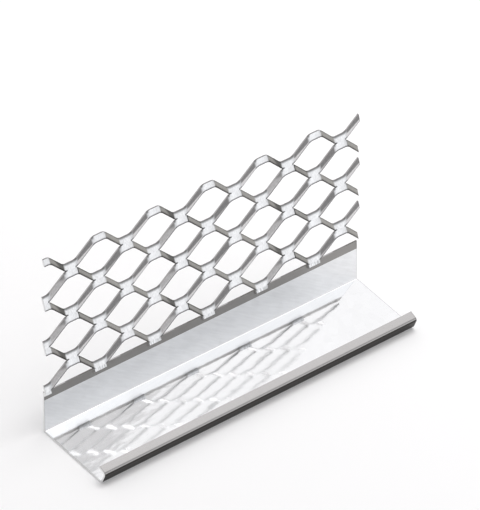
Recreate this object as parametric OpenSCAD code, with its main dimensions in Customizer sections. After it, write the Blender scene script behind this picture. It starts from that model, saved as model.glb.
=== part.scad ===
/* [Bead] */
// Length of the bead along the wall, mm
bead_length = 132; // [60:0.5:200]
// Thickness of the galvanised sheet, mm
sheet_t = 0.5; // [0.4:0.05:0.7]
// Inside radius of the folds in the sheet, mm
fold_r = 0.6; // [0.4:0.1:1.5]

/* [Tray] */
// Width of the flat tray from heel to nose, measured between sharp outer corners, mm
tray_w = 25.9; // [12:0.1:40]
// Angle that the wing leans back past square when the tray lies flat, degrees
wing_lean = 17.2; // [5:0.1:30]

/* [Nose] */
// Length of the nose's lower limb, between sharp outer corners, mm
nose_rise = 4.1; // [3:0.1:8]
// Angle from the tray up to the lower limb, degrees
nose_angle = 82; // [60:1:90]
// Length of the upper limb, from the sharp apex to its free edge, mm
nose_return = 3.2; // [2.5:0.1:8]
// Angle from the lower limb back to the upper limb, degrees
return_angle = 80; // [60:1:90]

/* [Wing] */
// Height of the plain strip between the heel and the mesh, mm
strip_h = 13.5; // [8:0.1:25]
// Number of zigzag strands stacked in the mesh
strands = 6; // [2:1:10]
// Width of one strand, mm
strand_w = 2.2; // [1.5:0.05:3]
// Length of the bond where two strands stay joined, mm
bond_len = 4.7; // [3:0.1:8]
// Distance along the bead from one bond to the next in a row, mm
mesh_pitch = 22.58; // [16:0.01:32]
// Rise of a strand from one bond to the next, mm
strand_rise = 5.4; // [4:0.01:8]
// Lean of a bond's flat face out of the plane of the wing, degrees
strand_lean = 17.5; // [10:0.5:30]
// Radius of the bend where a strand leaves a bond, mm
strand_bend_r = 3; // [1:0.1:4]
// Depth that a bond at the foot of the mesh is pressed down into the strip, mm
root_h = 0.8; // [0.3:0.1:2]

/* [Hidden] */
fold_steps = 8;
bend_steps = 5;
outer_r = fold_r + sheet_t;
half_pitch = mesh_pitch / 2;
strand_up = strand_w * cos(strand_lean);
strand_out = strand_w * sin(strand_lean);
slope = atan2(strand_rise, half_pitch - bond_len);
bend_run = strand_bend_r * sin(slope);
root_out = root_h * tan(strand_lean);

// Ways the sheet runs, from the top of the strip down, along the tray and round the nose
ways = [-90, -wing_lean, nose_angle - wing_lean, nose_angle + return_angle - wing_lean];
// Sharp corners of the outer face, before the folds are rounded
heel = [0, 0];
toe = heel + tray_w * way(ways[1]);
apex = toe + nose_rise * way(ways[2]);
lip = apex + nose_return * way(ways[3]);
corners = [heel, toe, apex];
// How far the bead reaches before and behind the heel, to set it over the middle of its footprint
apex_round = fold_centre(2);
front_reach = apex_round[0] * cos(wing_lean) - apex_round[1] * sin(wing_lean) + outer_r;
back_reach = level(strands) * sin(wing_lean) - strand_out * cos(wing_lean);

steel = [0.80, 0.81, 0.82];

bellcast_bead();

// One rolled sheet, standing on its tray: tray, nose and wing in one section, expanded mesh above
module bellcast_bead()
    color(steel)
    translate([-bead_length / 2, (front_reach - back_reach) / 2, 0])
    rotate([-wing_lean, 0, 0])
    union() {
        along(0, bead_length) section();
        for (n = [0 : floor((bead_length + bond_len / 2) / mesh_pitch)])
            along(max(0, n * mesh_pitch - bond_len / 2), min(bead_length, n * mesh_pitch + bond_len / 2))
                root();
        for (i = [0 : strands - 1])
            strand(i);
    }

// A section drawn with outwards to the left and up, run along the bead between two places
module along(from, to)
    translate([from, 0, 0])
        rotate([90, 0, 90])
            linear_extrude(height = to - from)
                children();

// Section of the sheet with the wing upright, from the strip round the heel to the lip of the nose
module section()
    polygon(mirrored(concat(
        [[0, strip_h]], face_points(outer_r), [lip, lip + sheet_t * way(ways[3] + 90)],
        reversed(face_points(fold_r)), [[sheet_t, strip_h]])));

// Section of the bulge where the sheet of a bond of the lowest strand runs down into the strip
module root()
    polygon(mirrored([
        [sheet_t / 2, strip_h], [strand_out, strip_h],
        [strand_out + sheet_t / 2, strip_h + sheet_t / 2], [strand_out + sheet_t, strip_h],
        [strand_out + sheet_t + root_out, strip_h - root_h],
        [sheet_t, strip_h - root_h - strand_out], [sheet_t / 2, strip_h - root_h - strand_out]]));

// Points along one face of the sheet, round every fold
function face_points(r) = [for (i = [0 : 2]) each
    [for (n = [0 : fold_steps])
        fold_centre(i) + r * way(ways[i] + (ways[i + 1] - ways[i]) * n / fold_steps - 90)]];

// Middle of the round of a fold
function fold_centre(i) = corners[i] + outer_r * way(ways[i] + 90)
    - outer_r * tan((ways[i + 1] - ways[i]) / 2) * way(ways[i]);

function way(a) = [cos(a), sin(a)];
function reversed(list) = [for (i = [len(list) - 1 : -1 : 0]) list[i]];
function mirrored(list) = [for (p = list) [-p[0], p[1]]];

// One zigzag strand of the mesh, counted from the strip, as a leaning band swept along the bead
module strand(i) {
    low = concat(edge(strand_out, level(i)), reversed(edge(0, level(i) + strand_up)));
    high = concat(edge(2 * strand_out, level(i + 1) - strand_up), reversed(edge(strand_out, level(i + 1))));
    places = strand_places();
    last = 4 * (len(places) - 1);
    polyhedron(
        [for (x = places) each
            let (f = rise_share(x + (i % 2) * half_pitch))
            [for (k = [0 : 3]) concat(x, (1 - f) * low[k] + f * high[k])]],
        concat(
            [[3, 2, 1, 0], [for (k = [0 : 3]) last + k]],
            [for (n = [0 : 4 : last - 4]) each
                [for (k = [0 : 3]) [n + k, n + (k + 1) % 4, n + 4 + (k + 1) % 4, n + 4 + k]]]),
        convexity = 10);
}

// Height of the foot of a strand's low bonds, which is the top of the high bonds below
function level(i) = strip_h + i * (strand_rise + strand_up);

// Back and front corner of a strand's edge, at a distance out from the wall and a height
function edge(out, height) = [[-out, height], [-out - sheet_t, height]];

// Places along the bead where a strand changes direction, from one end to the other
function strand_places() = concat([0],
    [for (n = [0 : ceil(bead_length / half_pitch)]) each
        [for (side = [-1, 1]) each
            [for (k = [0 : bend_steps])
                let (x = n * half_pitch + side * bond_len / 2 + bend_run * (k / bend_steps - 0.5))
                if (x > 0.05 && x < bead_length - 0.05) x]]],
    [bead_length]);

// Share of its rise that a strand has made at a place along the bead, from a low bond at nought
function rise_share(x) =
    let (u = x % mesh_pitch, s = min(u, mesh_pitch - u) - bond_len / 2, run = half_pitch - bond_len)
    s <= -bend_run / 2 + 0.001 ? 0
    : s < bend_run / 2 ? eased(s + bend_run / 2) / run
    : s <= run - bend_run / 2 ? s / run
    : s < run + bend_run / 2 - 0.001 ? 1 - eased(run + bend_run / 2 - s) / run
    : 1;

// Run lost on the rounded bend between a bond and a strand
function eased(d) = d * d / (2 * bend_run);
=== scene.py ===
import math

import bmesh
import bpy
from mathutils import Euler, Matrix, Vector


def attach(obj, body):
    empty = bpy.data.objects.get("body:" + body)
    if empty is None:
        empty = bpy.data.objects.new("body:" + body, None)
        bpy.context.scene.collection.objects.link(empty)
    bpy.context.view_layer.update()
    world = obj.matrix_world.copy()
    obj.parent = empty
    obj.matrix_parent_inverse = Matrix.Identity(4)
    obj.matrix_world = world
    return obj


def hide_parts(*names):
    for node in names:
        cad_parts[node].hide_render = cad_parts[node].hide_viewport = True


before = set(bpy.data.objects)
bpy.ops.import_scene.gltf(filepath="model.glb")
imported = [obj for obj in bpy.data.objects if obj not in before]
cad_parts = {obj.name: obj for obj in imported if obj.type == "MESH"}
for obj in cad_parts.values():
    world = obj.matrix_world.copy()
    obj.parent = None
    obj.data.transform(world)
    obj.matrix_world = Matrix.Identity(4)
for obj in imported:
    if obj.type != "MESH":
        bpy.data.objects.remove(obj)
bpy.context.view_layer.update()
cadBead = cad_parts["bellcast_bead"]


# camera, matched to the photograph's corners
cameraValues = {
    "place": (-1.340001, -0.987442, 1.448675),
    "turn": (48.7944, -11.7589, -43.4647),  # degrees
    "lens": 515.814,  # mm
    "sensor": 36.0,
    "clip": (0.1, 20),
}


def setCamera(values):
    data = bpy.data.cameras.new("beadCamera")
    data.lens = values["lens"]
    data.sensor_width = values["sensor"]
    data.clip_start, data.clip_end = values["clip"]
    camera = bpy.data.objects.new("beadCamera", data)
    bpy.context.scene.collection.objects.link(camera)
    camera.location = values["place"]
    camera.rotation_euler = Euler([math.radians(a) for a in values["turn"]], "XYZ")
    bpy.context.scene.camera = camera


setCamera(cameraValues)
print("camera set")


# studio
studioValues = {
    "floorColour": (0.95, 0.95, 0.95),
    "floorRoughness": 0.9,
    "floorRadius": 3.0,
    "floorEdges": 96,
    "skyAxis": (0.35, 0.75, 0.55),  # towards the bright side of the studio
    "skyFrom": -0.6,  # share of that way up to which the sky is dim
    "skyTo": 0.9,
    "skyDim": (0.61, 0.61, 0.62),
    "skyBright": (0.80, 0.785, 0.79),
}

# softboxes: way from the bead to the lamp, way of its long edge, distance, length and width in metres,
# the point that it faces, and the radiance that it adds to the sky's
softboxValues = {
    "frontRightSoftbox": {"way": (0.615, -0.75, 0.24), "edge": (0.77, 0.63, 0), "distance": 0.9,
                          "size": (0.54, 0.50), "aim": (0, 0, 0.02), "radiance": 0.60},
    "backSoftbox": {"way": (0.595, 0.45, 0.665), "edge": (0.739, 0.018, -0.673), "distance": 0.7,
                    "size": (0.9, 0.45), "aim": (0.0095, -0.2162, 0.073), "radiance": 0.385},
    "rearSoftbox": {"way": (0.49, 0.755, 0.437), "edge": (0.84, -0.545, 0), "distance": 0.7,
                    "size": (0.30, 0.26), "aim": (0, 0, 0.03), "radiance": 0.36},
    "noseSoftbox": {"way": (0.615, -0.03, 0.787), "edge": (0.77, 0.63, 0), "distance": 0.7,
                    "size": (0.40, 0.40), "aim": (0, 0, 0.01), "radiance": 0.50},
    "mirrorSoftbox": {"way": (0.483, 0.135, 0.866), "edge": (0.95, 0, -0.32), "distance": 0.6,
                      "size": (0.13, 0.13), "aim": (0, 0, 0.03), "radiance": 1.3},
    "keySoftbox": {"way": (0.30, 0.30, 0.90), "edge": (0.95, 0, -0.32), "distance": 0.6,
                   "size": (0.20, 0.20), "aim": (0, 0, 0.03), "radiance": 7.0},
}


def makeFloor(values):
    bpy.ops.mesh.primitive_circle_add(vertices=values["floorEdges"], radius=values["floorRadius"],
                                      fill_type="NGON")
    floor = bpy.context.active_object
    floor.name = "studioFloor"
    paint = bpy.data.materials.new("paleFloor")
    paint.use_nodes = True
    shader = paint.node_tree.nodes["Principled BSDF"]
    shader.inputs["Base Color"].default_value = (*values["floorColour"], 1)
    shader.inputs["Roughness"].default_value = values["floorRoughness"]
    shader.inputs["Specular IOR Level"].default_value = 0.0
    floor.data.materials.append(paint)


def addSoftbox(name, values):
    length, width = values["size"]
    data = bpy.data.lights.new(name, "AREA")
    data.shape = "RECTANGLE"
    data.size = length
    data.size_y = width
    data.energy = values["radiance"] * math.pi * length * width
    lamp = bpy.data.objects.new(name, data)
    bpy.context.scene.collection.objects.link(lamp)
    back = Vector(values["way"]).normalized()
    edge = Vector(values["edge"])
    side = (edge - edge.dot(back) * back).normalized()
    turn = Matrix((side, back.cross(side), back)).transposed()
    lamp.matrix_world = Matrix.Translation(Vector(values["aim"]) + back * values["distance"]) @ turn.to_4x4()


def makeSky(values):
    world = bpy.data.worlds.new("studioSky")
    world.use_nodes = True
    nodes, links = world.node_tree.nodes, world.node_tree.links
    place = nodes.new("ShaderNodeTexCoord")
    along = nodes.new("ShaderNodeVectorMath")
    along.operation = "DOT_PRODUCT"
    along.inputs[1].default_value = Vector(values["skyAxis"]).normalized()
    share = nodes.new("ShaderNodeMapRange")
    share.interpolation_type = "SMOOTHSTEP"
    share.inputs["From Min"].default_value = values["skyFrom"]
    share.inputs["From Max"].default_value = values["skyTo"]
    tone = nodes.new("ShaderNodeMix")
    tone.data_type = "RGBA"
    tone.inputs["A"].default_value = (*values["skyDim"], 1)
    tone.inputs["B"].default_value = (*values["skyBright"], 1)
    links.new(place.outputs["Generated"], along.inputs[0])
    links.new(along.outputs["Value"], share.inputs["Value"])
    links.new(share.outputs["Result"], tone.inputs["Factor"])
    links.new(tone.outputs["Result"], nodes["Background"].inputs["Color"])
    bpy.context.scene.world = world


def makeStudio():
    makeFloor(studioValues)
    for name, values in softboxValues.items():
        addSoftbox(name, values)
    makeSky(studioValues)
    bpy.context.scene.view_settings.view_transform = "Standard"


makeStudio()
print("studio made")


# the bead: the CAD solid's shape, merged, with its faces sorted by finish
beadValues = {
    "heelPlace": (-0.066, 0.004845, 0),  # the heel's sharp outer corner at the left end
    "wingLean": 17.2,  # degrees
    "sheet": 0.0005,
    "stripHeight": 0.0135,
    "trayWidth": 0.0259,
    "noseRise": 0.0041,
    "noseReturn": 0.0032,
    "noseAngle": 82,  # degrees
    "returnAngle": 80,
    "bandHeight": 0.0027,  # the band below the mesh that gets a painted dark reflection
    "bulgeHeight": 0.004,  # height over which bonds are pressed into the strip
    "mergeWithin": 0.00003,
    "flatWithin": 0.5,  # degrees
    "cutWithin": 1e-7,
    "smoothAngle": 32,
    "flatWeight": 100,  # how much a wide face counts before a fold's facets, 50 is even
    # how faces are told apart: an allowance in metres, and shares of a face's normal
    "hair": 0.00002,
    "facing": 0.3,
    "square": 0.9,
    "flush": 0.99,
    "bulgeFacing": 0.1,
}
finishOrder = ["trayFace", "stripFace", "paintedDarkBand", "meshFace", "meshBack", "backFace", "nosePaintedShade",
               "dripPaintedDark", "slitTop", "slitFoot", "endCut"]


def wayAt(degrees):
    angle = math.radians(degrees)
    return Vector((math.cos(angle), math.sin(angle)))


def sectionLimbs(values):
    # the outer face's sharp corners, outwards and up with the wing upright, from the strip round to the lip
    lean, rise = values["wingLean"], values["noseAngle"]
    ways = [wayAt(a) for a in (-90, -lean, rise - lean, rise + values["returnAngle"] - lean)]
    corners = [Vector((0, values["stripHeight"])), Vector((0, 0))]
    for way, length in zip(ways[1:], (values["trayWidth"], values["noseRise"], values["noseReturn"])):
        corners.append(corners[-1] + way * length)
    return [(corners[i], corners[i + 1], ways[i]) for i in range(4)]


def nearestLimb(limbs, point):
    def gap(limb):
        start, end, way = limb
        along = min(max((point - start).dot(way), 0), (end - start).length)
        return (point - start - way * along).length
    return min(range(4), key=lambda i: gap(limbs[i]))


def sortFace(face, toWing, limbs, values):
    # finish for one face of the sheet, by where it lies and how it faces with the wing upright
    centre = toWing @ face.calc_center_median()
    normal = toWing.to_3x3() @ face.normal
    out, up, outwards = -centre.y, centre.z, -normal.y
    top, hair, facing, square = [values[key] for key in ("stripHeight", "hair", "facing", "square")]
    if abs(normal.x) > square:
        return "endCut"
    if up > top + hair:
        if outwards > facing:
            return "meshFace"
        if outwards < -facing:
            return "meshBack"
        return "slitTop" if normal.z > 0 else "slitFoot"
    if abs(normal.z) > square and up > top - hair:
        return "slitTop"
    if out > values["sheet"] + hair and up > top - values["bulgeHeight"] and outwards > values["bulgeFacing"]:
        return "meshFace"
    index = nearestLimb(limbs, Vector((out, up)))
    way = limbs[index][2]
    fromSheet = Vector((way.y, -way.x)).dot(Vector((outwards, normal.z)))
    if fromSheet > facing:
        return ("backFace", "backFace", "dripPaintedDark", "nosePaintedShade")[index]
    if fromSheet < -facing:
        inBand = up > top - values["bandHeight"]
        return ("paintedDarkBand" if inBand else "stripFace") if index == 0 else "trayFace"
    return "endCut"


def makeBead(values):
    mesh = bmesh.new()
    mesh.from_mesh(cadBead.data)
    bmesh.ops.remove_doubles(mesh, verts=mesh.verts[:], dist=values["mergeWithin"])
    bmesh.ops.dissolve_limit(mesh, angle_limit=math.radians(values["flatWithin"]),
                             verts=mesh.verts[:], edges=mesh.edges[:])
    turn = Matrix.Rotation(math.radians(values["wingLean"]), 4, "X")
    toWing = turn @ Matrix.Translation(-Vector(values["heelPlace"]))
    fromWing = toWing.inverted()
    # an edge across the strip's front, where the band of painted dark reflection ends
    bandFoot = values["stripHeight"] - values["bandHeight"]
    strip = [f for f in mesh.faces if (toWing.to_3x3() @ f.normal).y < -values["flush"]
             and (toWing @ f.calc_center_median()).z < values["stripHeight"]]
    around = strip + list({e for f in strip for e in f.edges}) + list({v for f in strip for v in f.verts})
    bmesh.ops.bisect_plane(mesh, geom=around, dist=values["cutWithin"],
                           plane_co=fromWing @ Vector((0, 0, bandFoot)),
                           plane_no=fromWing.to_3x3() @ Vector((0, 0, 1)))
    limbs = sectionLimbs(values)
    for face in mesh.faces:
        face.material_index = finishOrder.index(sortFace(face, toWing, limbs, values))
        face.smooth = True
    data = bpy.data.meshes.new("rolledBead")
    mesh.to_mesh(data)
    mesh.free()
    data.set_sharp_from_angle(angle=math.radians(values["smoothAngle"]))
    piece = bpy.data.objects.new("rolledBead", data)
    bpy.context.scene.collection.objects.link(piece)
    # the wide faces stay flat between rounded folds
    flats = piece.modifiers.new("flatFaces", "WEIGHTED_NORMAL")
    flats.mode = "FACE_AREA"
    flats.weight = values["flatWeight"]
    flats.keep_sharp = True
    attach(piece, "root")
    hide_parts("bellcast_bead")
    return piece


bead = makeBead(beadValues)
print("bead made,", len(bead.data.polygons), "faces")


# node helpers for the finishes
def joinTo(tree, value, socket):
    if isinstance(value, bpy.types.NodeSocket):
        tree.links.new(value, socket)
    else:
        socket.default_value = value


def mathStep(tree, operation, first, second=0.0):
    node = tree.nodes.new("ShaderNodeMath")
    node.operation = operation
    joinTo(tree, first, node.inputs[0])
    joinTo(tree, second, node.inputs[1])
    return node.outputs[0]


def rangeStep(tree, value, low, high, lowTone=0.0, highTone=1.0):
    node = tree.nodes.new("ShaderNodeMapRange")
    node.interpolation_type = "SMOOTHSTEP"
    joinTo(tree, value, node.inputs["Value"])
    joinTo(tree, low, node.inputs["From Min"])
    joinTo(tree, high, node.inputs["From Max"])
    joinTo(tree, lowTone, node.inputs["To Min"])
    joinTo(tree, highTone, node.inputs["To Max"])
    return node.outputs["Result"]


def mixStep(tree, share, first, second):
    node = tree.nodes.new("ShaderNodeMix")
    joinTo(tree, share, node.inputs["Factor"])
    joinTo(tree, first, node.inputs["A"])
    joinTo(tree, second, node.inputs["B"])
    return node.outputs["Result"]


def tintStep(tree, share, first, second):
    node = tree.nodes.new("ShaderNodeMix")
    node.data_type = "RGBA"
    joinTo(tree, share, node.inputs["Factor"])
    for name, colour in (("A", first), ("B", second)):
        joinTo(tree, (*colour, 1) if isinstance(colour, tuple) else colour, node.inputs[name])
    return node.outputs["Result"]


def shadeStep(tree, colour, tone):
    # a colour made lighter or darker by a tone about 1
    node = tree.nodes.new("ShaderNodeVectorMath")
    node.operation = "SCALE"
    joinTo(tree, colour, node.inputs[0])
    joinTo(tree, tone, node.inputs["Scale"])
    return node.outputs["Vector"]


def wingPlace(tree):
    # millimetres along the bead from its left end, in towards the wall and up, with the wing upright
    lean = math.radians(beadValues["wingLean"])
    heel = Matrix.Rotation(lean, 3, "X") @ Vector(beadValues["heelPlace"])
    source = tree.nodes.new("ShaderNodeTexCoord")
    turned = tree.nodes.new("ShaderNodeMapping")
    turned.inputs["Location"].default_value = -heel * 1000
    turned.inputs["Rotation"].default_value = (lean, 0, 0)
    turned.inputs["Scale"].default_value = (1000, 1000, 1000)
    tree.links.new(source.outputs["Object"], turned.inputs["Vector"])
    return turned.outputs["Vector"]


def stretched(tree, place, size, turn=0.0):
    # the place in units of one grain's size, turned in the face of the wing by an angle in degrees
    node = tree.nodes.new("ShaderNodeMapping")
    node.vector_type = "TEXTURE"
    node.inputs["Rotation"].default_value = (0, math.radians(turn), 0)
    node.inputs["Scale"].default_value = size
    tree.links.new(place, node.inputs["Vector"])
    return node.outputs["Vector"]


def noiseStep(tree, place, size, detail, turn=0.0):
    node = tree.nodes.new("ShaderNodeTexNoise")
    node.inputs["Scale"].default_value = 1.0
    node.inputs["Detail"].default_value = detail
    tree.links.new(stretched(tree, place, size, turn), node.inputs["Vector"])
    return node.outputs["Fac"]


def cellStep(tree, place, size):
    # one grey per zinc crystal
    node = tree.nodes.new("ShaderNodeTexVoronoi")
    node.inputs["Scale"].default_value = 1.0
    tree.links.new(stretched(tree, place, (size, size, size)), node.inputs["Vector"])
    return node.outputs["Color"]


def about(tree, value, reach):
    # a grey from 0 to 1 turned into a change either side of nought
    return mathStep(tree, "MULTIPLY", mathStep(tree, "SUBTRACT", value, 0.5), 2 * reach)


def addUp(tree, first, *others):
    for other in others:
        first = mathStep(tree, "ADD", first, other)
    return first


# the mesh's pattern, mm
meshValues = {
    "columnPitch": 11.29,  # from one bond's middle to the next column's
    "bondLength": 4.7,
    "bondShift": 0.2,  # how far a strand's high bonds reach to the left, and its low ones to the right
    "bondToStrandBlend": 0.75,  # length over which a bond's bright face blends into a strand's darker tone, a painted shade
    "strandRise": 5.4,
    "strandUp": 2.0982,  # height and reach of a leaning strand
    "strandOut": 0.6616,
    "stripHeight": 13.5,
    "sheet": 0.5,
}


def strandPlace(tree, place, values):
    # where a point of the mesh lies: which strand, how far across and up it, and how near to a bond
    parts = tree.nodes.new("ShaderNodeSeparateXYZ")
    tree.links.new(place, parts.inputs["Vector"])
    along, inwards, up = [parts.outputs[axis] for axis in "XYZ"]
    pitch, halfBond = values["columnPitch"], values["bondLength"] / 2
    step = values["strandRise"] + values["strandUp"]
    # in reaches of one strand out from the strip's face, and in steps of one strand up from its top
    out = mathStep(tree, "SUBTRACT", mathStep(tree, "MULTIPLY", inwards, -1), values["sheet"])
    reach = mathStep(tree, "DIVIDE", out, values["strandOut"])
    climb = mathStep(tree, "DIVIDE", mathStep(tree, "SUBTRACT", up, values["stripHeight"]), step)
    behind = mathStep(tree, "MULTIPLY", mathStep(tree, "SUBTRACT", reach, 1), values["strandRise"] / step)
    level = mathStep(tree, "SUBTRACT", climb, behind)  # strands counted from the strip
    row = mathStep(tree, "FLOOR", level)
    across = mathStep(tree, "SUBTRACT", level, row)
    rise = addUp(tree, reach, across, -1.0)  # 0 at a low bond, 1 at a high one
    inMesh = mathStep(tree, "GREATER_THAN", level, 0)
    shift = mathStep(tree, "MULTIPLY", mathStep(tree, "SUBTRACT", rise, 0.5), 2 * values["bondShift"])
    inPitch = mathStep(tree, "FLOORED_MODULO", addUp(tree, along, shift, pitch / 2), pitch)
    fromColumn = mathStep(tree, "SUBTRACT", inPitch, pitch / 2)
    pastBond = mathStep(tree, "SUBTRACT", mathStep(tree, "ABSOLUTE", fromColumn), halfBond)
    stretch = mathStep(tree, "MULTIPLY", rangeStep(tree, pastBond, 0.0, values["bondToStrandBlend"]), inMesh)
    column = mathStep(tree, "FLOOR", mathStep(tree, "DIVIDE", along, pitch))
    pairs = mathStep(tree, "FLOOR", mathStep(tree, "DIVIDE", column, 2))
    return {
        "level": level,
        "across": across,
        "rise": rise,
        "inMesh": inMesh,
        "fromColumn": fromColumn,
        "pastBond": pastBond,
        "stretch": stretch,  # 0 on a bond, 1 on a strand
        "odd": mathStep(tree, "FLOORED_MODULO", row, 2),
        "pair": mathStep(tree, "FLOORED_MODULO", pairs, 2),
        "fall": mathStep(tree, "FLOORED_MODULO", addUp(tree, column, row), 2),  # 0 on strands that climb
    }


# finishes of the rolled sheet: size of the zinc crystals and of the grain (along, in, up) in mm, the grain's
# turn in degrees, how far each changes the tone, and the depth of the grain's bump in micrometres. Some have
# their own clouding, a tint at the edge of a round, or waves in the sheet, with size and depth as the grain's
finishValues = {
    "trayFace": {"colour": (0.80, 0.81, 0.82), "roughness": 0.060, "crystal": 2.6, "crystalTone": 0.020,
                 "grain": (7, 0.12, 0.12), "turn": 0, "grainTone": 0.015, "bump": 0.12,
                 "wave": (4.0, 2.2, 2.2), "waveDepth": 10},
    "stripFace": {"colour": (0.815, 0.825, 0.84), "roughness": 0.35, "crystal": 2.6, "crystalTone": 0.020,
                  "grain": (6, 0.7, 0.7), "turn": 28, "grainTone": 0.10, "bump": 0.3, "cloudTone": 0.045},
    # painted dark reflection: the strip's top band is coloured dark for the dark surroundings it mirrors
    "paintedDarkBand": {"colour": (0.292, 0.285, 0.277), "roughness": 0.35, "crystal": 2.0, "crystalTone": 0.02,
                 "grain": (5, 0.2, 0.12), "turn": 0, "grainTone": 0.06, "bump": 0.6},
    "backFace": {"colour": (0.68, 0.69, 0.70), "roughness": 0.35, "crystal": 2.6, "crystalTone": 0.035,
                 "grain": (9, 0.15, 0.15), "turn": 0, "grainTone": 0.04, "bump": 0.6},
    # painted shade: the nose's upper face is coloured darker than the tray, though it is the same zinc sheet
    "nosePaintedShade": {"colour": (0.358, 0.351, 0.349), "roughness": 0.20, "crystal": 2.2, "crystalTone": 0.012,
                 "grain": (0.16, 6, 6), "turn": 0, "grainTone": 0.05, "bump": 0.5},
    # painted dark reflection: the nose's lower face is coloured near black for the shaded floor and dark
    # surroundings it mirrors
    "dripPaintedDark": {"colour": (0.047, 0.044, 0.042), "roughness": 0.19, "crystal": 2.2, "crystalTone": 0.02,
                 "grain": (0.22, 6, 6), "turn": 0, "grainTone": 0.12, "bump": 0.5,
                 "edgeTint": (0.78, 0.78, 0.78)},
    "endCut": {"colour": (0.78, 0.78, 0.78), "roughness": 0.36, "crystal": 1.0, "crystalTone": 0.02,
               "grain": (4, 0.1, 0.3), "turn": 60, "grainTone": 0.08, "bump": 1.0},
    "meshFace": {"colour": (0.80, 0.81, 0.825), "roughness": 0.35, "crystal": 1.6, "crystalTone": 0.02,
                 "grain": (0.38, 0.38, 0.75), "turn": 0, "grainTone": 0.26, "bump": 0.5},
    "meshBack": {"colour": (0.68, 0.69, 0.70), "roughness": 0.35, "crystal": 1.6, "crystalTone": 0.02,
                 "grain": (0.35, 0.35, 0.35), "turn": 0, "grainTone": 0.07, "bump": 0.8},
    # painted shade: the slit edges that face up are coloured dark, though they are the same cut steel as
    # those facing down
    "slitTop": {"colour": (0.22, 0.215, 0.21), "roughness": 0.42, "crystal": 0.8, "crystalTone": 0.02,
                "grain": (0.25, 1.5, 1.5), "turn": 0, "grainTone": 0.12, "bump": 1.5},
    # painted light: the slit edges that face down are coloured almost white so that they show light where
    # they are mirrored
    "slitFoot": {"colour": (0.93, 0.93, 0.93), "roughness": 0.36, "crystal": 0.8, "crystalTone": 0.02,
                 "grain": (0.25, 1.5, 1.5), "turn": 0, "grainTone": 0.10, "bump": 1.0},
}

# what all the faces share: clouding where hands and rolls have touched the sheet, and uneven roughness
sheetValues = {
    "cloud": (16, 16, 16),  # mm
    "cloudTone": 0.02,
    "grainDetail": 3.0,
    "softDetail": 1.0,  # of clouds, waves and drawn lines
    "crystalRough": 0.012,
    "cloudRough": 0.03,
    "grainRough": 0.02,
}

# the sheet's faces scuffed by the shears along both cut ends, mm
cutValues = {
    "length": 132,  # of the bead
    "width": 0.36,
    "full": 0.108,  # the part of the width that has the whole tone
    "tone": 0.74,
}

# the stretched strands, painted darker than the bonds they spring from: painted shade, with falling strands
# darker than climbing ones by which way they face
strandValues = {
    "climbing": (0.53, 0.52, 0.52),  # strands that climb along the bead
    "falling": (0.350, 0.342, 0.324),
    "climbingSlit": (0.48, 0.47, 0.47),  # their slit edges, in painted shade: darker on falling strands than on climbing ones
    "fallingSlit": (0.13, 0.125, 0.115),
    "back": (0.72, 0.72, 0.72),
    "roughness": 0.36,
    "bondShade": (0.02, -0.045),  # painted shading: change of tone per mm along a low bond and along a high one
    # fine lines on the bonds pressed into the strip
    "drawnGrain": (0.28, 3, 3),
    "drawnFrom": (0.45, 0.62),
    "drawnTone": 0.32,
    "drawnTop": 0.2,  # as a share of a strand's step
    # four looks of strand in painted light and shade: first and second pair of columns in even rows, then in
    # odd rows
    "paintedLightStripe": (1.40, 1.30, 1.75, 1.85),  # tone of the painted light stripe low on climbing strands
    "climbingPaintedShade": (1.22, 0.60, 0.62, 0.64),  # tone of the painted shade band above it
    "bandFoot": (0.30, 0.24, 0.38, 0.40),  # where the band starts, as a share of the width
    "bandEdge": (-0.08, 0.10),
    "bandLean": 0.35,
    "paintedShadowUnderBond": (0.55, 1.0, 1.0, 1.0),  # tone of the painted shadow in the upper corner below the next bond
    "headFrom": (0.95, 1.2),
    "headLean": 0.5,
    "fallingHead": (1.0, 1.1, 1.0, 1.12),  # painted light: tone of the upper part of falling strands
    # painted shade and light: tone of the foot of falling strands
    "fallingFoot": (1.0, 1.1, 0.38, 1.12),
    "footTo": (0.15, 0.5),
    "footLean": -0.3,
    "crease": (0.15, 0.75, 0.75, 0.9),  # tone of the painted shade line where a falling strand leaves its upper bond
    "creaseEdge": (0.25, 0.5),
    "creaseFrom": (0.7, 0.8),
    # dark rims along the free edges, partly the knife's burr and partly painted shade: tone, and width as a
    # share of the strand's
    "bondRim": (0.0, 0.26),
    "bondTopRim": (0.25, 0.40),
    "climbingRim": ((0.12, 0.30, 0.25, 0.55), 0.20),
    "climbingTopRim": ((0.85, 0.85, 0.85, 0.85), 0.08),
    "fallingRim": ((0.0, 0.15, 0.0, 0.0), 0.46),
    "fallingTopRim": ((0.05, 0.45, 0.30, 0.45), 0.27),
    "rimFrom": 0.06,  # share of a strand's rise at which its edge is free
    "slitRun": (-0.86, -0.66),  # where the slit's painted shade starts and is full, mm past a bond's end
}


def scuffStep(tree, place, values):
    parts = tree.nodes.new("ShaderNodeSeparateXYZ")
    tree.links.new(place, parts.inputs["Vector"])
    middle = values["length"] / 2
    fromMiddle = mathStep(tree, "ABSOLUTE", mathStep(tree, "SUBTRACT", parts.outputs["X"], middle))
    fromEnd = mathStep(tree, "SUBTRACT", middle, fromMiddle)
    return rangeStep(tree, fromEnd, values["full"], values["width"], values["tone"], 1.0)


def variantStep(tree, spot, values):
    # the one of four values that a strand's row and pair of columns take
    even, odd = [mixStep(tree, spot["pair"], *values[i:i + 2]) for i in (0, 2)]
    return mixStep(tree, spot["odd"], even, odd)


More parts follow.
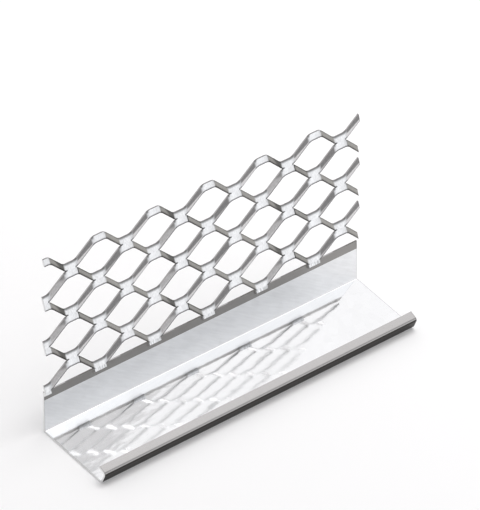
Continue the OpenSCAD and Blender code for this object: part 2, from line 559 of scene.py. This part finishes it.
def rimStep(tree, spot, values):
    # tone of the dark rims along free edges only, partly the knife's burr and partly painted shade
    def blended(bond, climbing, falling):
        return mixStep(tree, spot["stretch"], bond, mixStep(tree, spot["fall"], climbing, falling))

    def rimTone(kinds, fromEdge, free):
        bond, climbing, falling = [values[kind] for kind in kinds]
        width = blended(bond[1], climbing[1], falling[1])
        tone = blended(bond[0], variantStep(tree, spot, climbing[0]), variantStep(tree, spot, falling[0]))
        near = mathStep(tree, "MULTIPLY", rangeStep(tree, fromEdge, 0.0, width, 1.0, 0.0), free)
        return mixStep(tree, mathStep(tree, "MULTIPLY", near, spot["inMesh"]), 1.0, tone)

    # the slit's painted shade runs on a little way into a low bond, but not where the mesh joins the strip
    lineEnd = rangeStep(tree, spot["pastBond"], *values["slitRun"])
    lineEnd = mathStep(tree, "MULTIPLY", lineEnd, mathStep(tree, "GREATER_THAN", spot["level"], 1.0))
    footFree = mathStep(tree, "MAXIMUM", rangeStep(tree, spot["rise"], 0.0, values["rimFrom"]), lineEnd)
    topFree = rangeStep(tree, spot["rise"], 1.0 - values["rimFrom"], 1.0, 1.0, 0.0)
    fromTop = mathStep(tree, "SUBTRACT", 1.0, spot["across"])
    foot = rimTone(("bondRim", "climbingRim", "fallingRim"), spot["across"], footFree)
    top = rimTone(("bondTopRim", "climbingTopRim", "fallingTopRim"), fromTop, topFree)
    return mathStep(tree, "MULTIPLY", foot, top)


def climbingStep(tree, spot, values):
    # painted light and shade on a climbing strand: a painted light stripe low on it, then a painted shade
    # band that leans over
    lean = mathStep(tree, "MULTIPLY", mathStep(tree, "SUBTRACT", spot["rise"], 0.5), values["bandLean"])
    fromFoot = mathStep(tree, "SUBTRACT", mathStep(tree, "ADD", spot["across"], lean),
                        variantStep(tree, spot, values["bandFoot"]))
    tone = rangeStep(tree, fromFoot, *values["bandEdge"], variantStep(tree, spot, values["paintedLightStripe"]),
                     variantStep(tree, spot, values["climbingPaintedShade"]))
    # painted shadow in the upper corner below the next bond
    corner = addUp(tree, spot["rise"], mathStep(tree, "MULTIPLY", spot["across"], values["headLean"]))
    head = rangeStep(tree, corner, *values["headFrom"], 1.0, variantStep(tree, spot, values["paintedShadowUnderBond"]))
    return mathStep(tree, "MULTIPLY", tone, head)


def fallingStep(tree, spot, values):
    # painted light and shade on a falling strand, from its foot to its upper part
    corner = addUp(tree, spot["rise"], mathStep(tree, "MULTIPLY", spot["across"], values["footLean"]))
    return rangeStep(tree, corner, *values["footTo"], variantStep(tree, spot, values["fallingFoot"]),
                     variantStep(tree, spot, values["fallingHead"]))


def creaseStep(tree, spot, values):
    # painted shade in the crease between a falling strand and its upper bond
    fromCrease = mathStep(tree, "ABSOLUTE", mathStep(tree, "SUBTRACT", spot["stretch"], 0.5))
    near = rangeStep(tree, fromCrease, *values["creaseEdge"], 1.0, 0.0)
    near = mathStep(tree, "MULTIPLY", near, spot["fall"])
    near = mathStep(tree, "MULTIPLY", near, rangeStep(tree, spot["rise"], *values["creaseFrom"]))
    return mixStep(tree, near, 1.0, variantStep(tree, spot, values["crease"]))


def bondStep(tree, spot, colour, place, values):
    # colour of a bond, with painted shading a little along its length and drawn lines where it joins the
    # strip
    along = mathStep(tree, "MULTIPLY", spot["fromColumn"], mixStep(tree, spot["rise"], *values["bondShade"]))
    bond = shadeStep(tree, colour, mathStep(tree, "ADD", along, 1.0))
    drawn = noiseStep(tree, place, values["drawnGrain"], sheetValues["softDetail"])
    drawn = rangeStep(tree, drawn, *values["drawnFrom"], 0.0, values["drawnTone"])
    low = rangeStep(tree, spot["level"], 0.0, values["drawnTop"], 1.0, 0.0)
    return shadeStep(tree, bond, mathStep(tree, "SUBTRACT", 1.0, mathStep(tree, "MULTIPLY", drawn, low)))


def meshColour(tree, colour, place, name, values):
    # colour of the mesh's faces with their painted light and shade, and the share by which a bond has become
    # a strand
    # the front lies a sheet's thickness further out than the back, which the slit faces are measured from
    spot = strandPlace(tree, place, meshValues if name == "meshFace" else {**meshValues, "sheet": 0.0})
    if name == "slitTop":
        # painted shade: slit edges of falling strands are darker than those of climbing ones
        slit = tintStep(tree, spot["fall"], values["climbingSlit"], values["fallingSlit"])
        return tintStep(tree, spot["stretch"], colour, slit), spot["stretch"]
    if name == "meshBack":
        return tintStep(tree, spot["stretch"], colour, values["back"]), spot["stretch"]
    # painted light and shade on climbing and falling strands, and painted shade at their rims and creases
    climbing = shadeStep(tree, values["climbing"], climbingStep(tree, spot, values))
    falling = shadeStep(tree, values["falling"], fallingStep(tree, spot, values))
    strand = tintStep(tree, spot["fall"], climbing, falling)
    face = tintStep(tree, spot["stretch"], bondStep(tree, spot, colour, place, values), strand)
    rim = mathStep(tree, "MULTIPLY", rimStep(tree, spot, values), creaseStep(tree, spot, values))
    return shadeStep(tree, face, rim), spot["stretch"]


def addBump(tree, height, micrometres):
    relief = tree.nodes.new("ShaderNodeBump")
    relief.inputs["Distance"].default_value = micrometres * 1e-6
    tree.links.new(height, relief.inputs["Height"])
    return relief


def makeFinish(name, values):
    finish = bpy.data.materials.new(name)
    finish.use_nodes = True
    tree = finish.node_tree
    shader = tree.nodes["Principled BSDF"]
    shader.inputs["Metallic"].default_value = 1.0
    shader.inputs["Specular Tint"].default_value = (*values.get("edgeTint", (1, 1, 1)), 1)
    place = wingPlace(tree)
    crystal = cellStep(tree, place, values["crystal"])
    grain = noiseStep(tree, place, values["grain"], sheetValues["grainDetail"], values["turn"])
    cloud = noiseStep(tree, place, sheetValues["cloud"], sheetValues["softDetail"])
    tone = addUp(tree, about(tree, crystal, values["crystalTone"]), about(tree, grain, values["grainTone"]),
                 about(tree, cloud, values.get("cloudTone", sheetValues["cloudTone"])), 1.0)
    if name != "endCut":
        tone = mathStep(tree, "MULTIPLY", tone, scuffStep(tree, place, cutValues))
    colour, roughness = values["colour"], values["roughness"]
    if name in ("meshFace", "meshBack", "slitTop"):
        colour, stretch = meshColour(tree, colour, place, name, strandValues)
        roughness = mixStep(tree, stretch, roughness, strandValues["roughness"])
    joinTo(tree, shadeStep(tree, colour, tone), shader.inputs["Base Color"])
    change = addUp(tree, about(tree, crystal, sheetValues["crystalRough"]),
                   about(tree, cloud, sheetValues["cloudRough"]),
                   about(tree, grain, sheetValues["grainRough"]))
    joinTo(tree, mathStep(tree, "ADD", roughness, change), shader.inputs["Roughness"])
    relief = addBump(tree, grain, values["bump"])
    if "wave" in values:  # the sheet is never quite flat, and bends what it mirrors
        wave = noiseStep(tree, place, values["wave"], sheetValues["softDetail"])
        wave = addBump(tree, wave, values["waveDepth"])
        tree.links.new(wave.outputs["Normal"], relief.inputs["Normal"])
    tree.links.new(relief.outputs["Normal"], shader.inputs["Normal"])
    return finish


for finishName in finishOrder:
    bead.data.materials.append(makeFinish(finishName, finishValues[finishName]))
print("finishes made")
